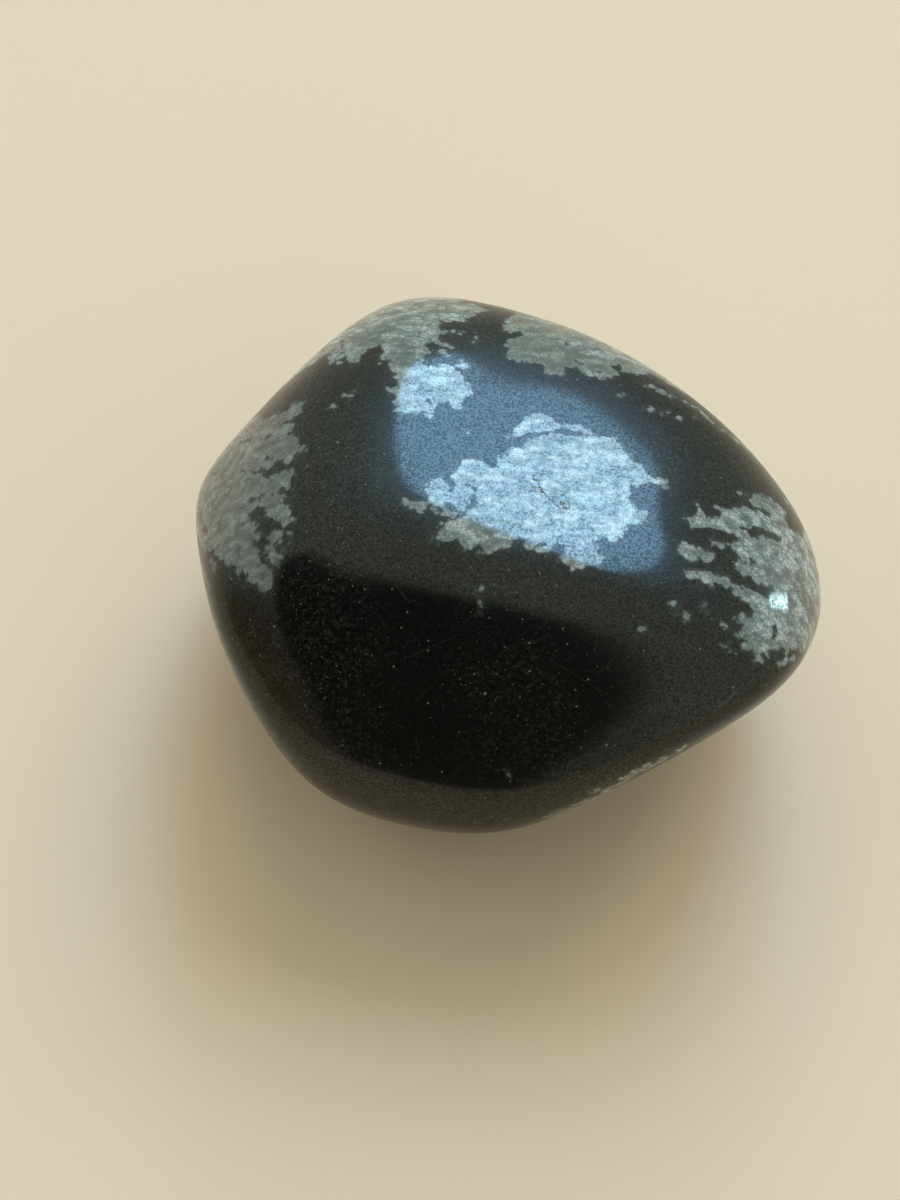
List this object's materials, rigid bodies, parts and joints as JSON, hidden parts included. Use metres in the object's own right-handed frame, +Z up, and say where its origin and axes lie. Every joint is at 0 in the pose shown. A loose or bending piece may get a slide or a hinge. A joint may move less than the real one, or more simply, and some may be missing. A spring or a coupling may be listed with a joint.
{
  "type": "snowflake obsidian tumbled stone",
  "caption": "Polished pebble of black volcanic glass with grey snowflake patches, for holding, display or set dressing.",
  "frame": {"origin": "on the flat resting face, under the middle of the stone's bounding box", "axes": "+Z up, out of the resting face; +X to the right and +Y away, as the stone lies in the picture"},
  "size_m": [0.042, 0.0402, 0.0283],
  "materials": {
    "obsidian": "black volcanic glass, tumble polished, with flush grey-white cristobalite snowflakes"
  },
  "bodies": {
    "root": {"stone": "obsidian"}
  },
  "joints": []
}
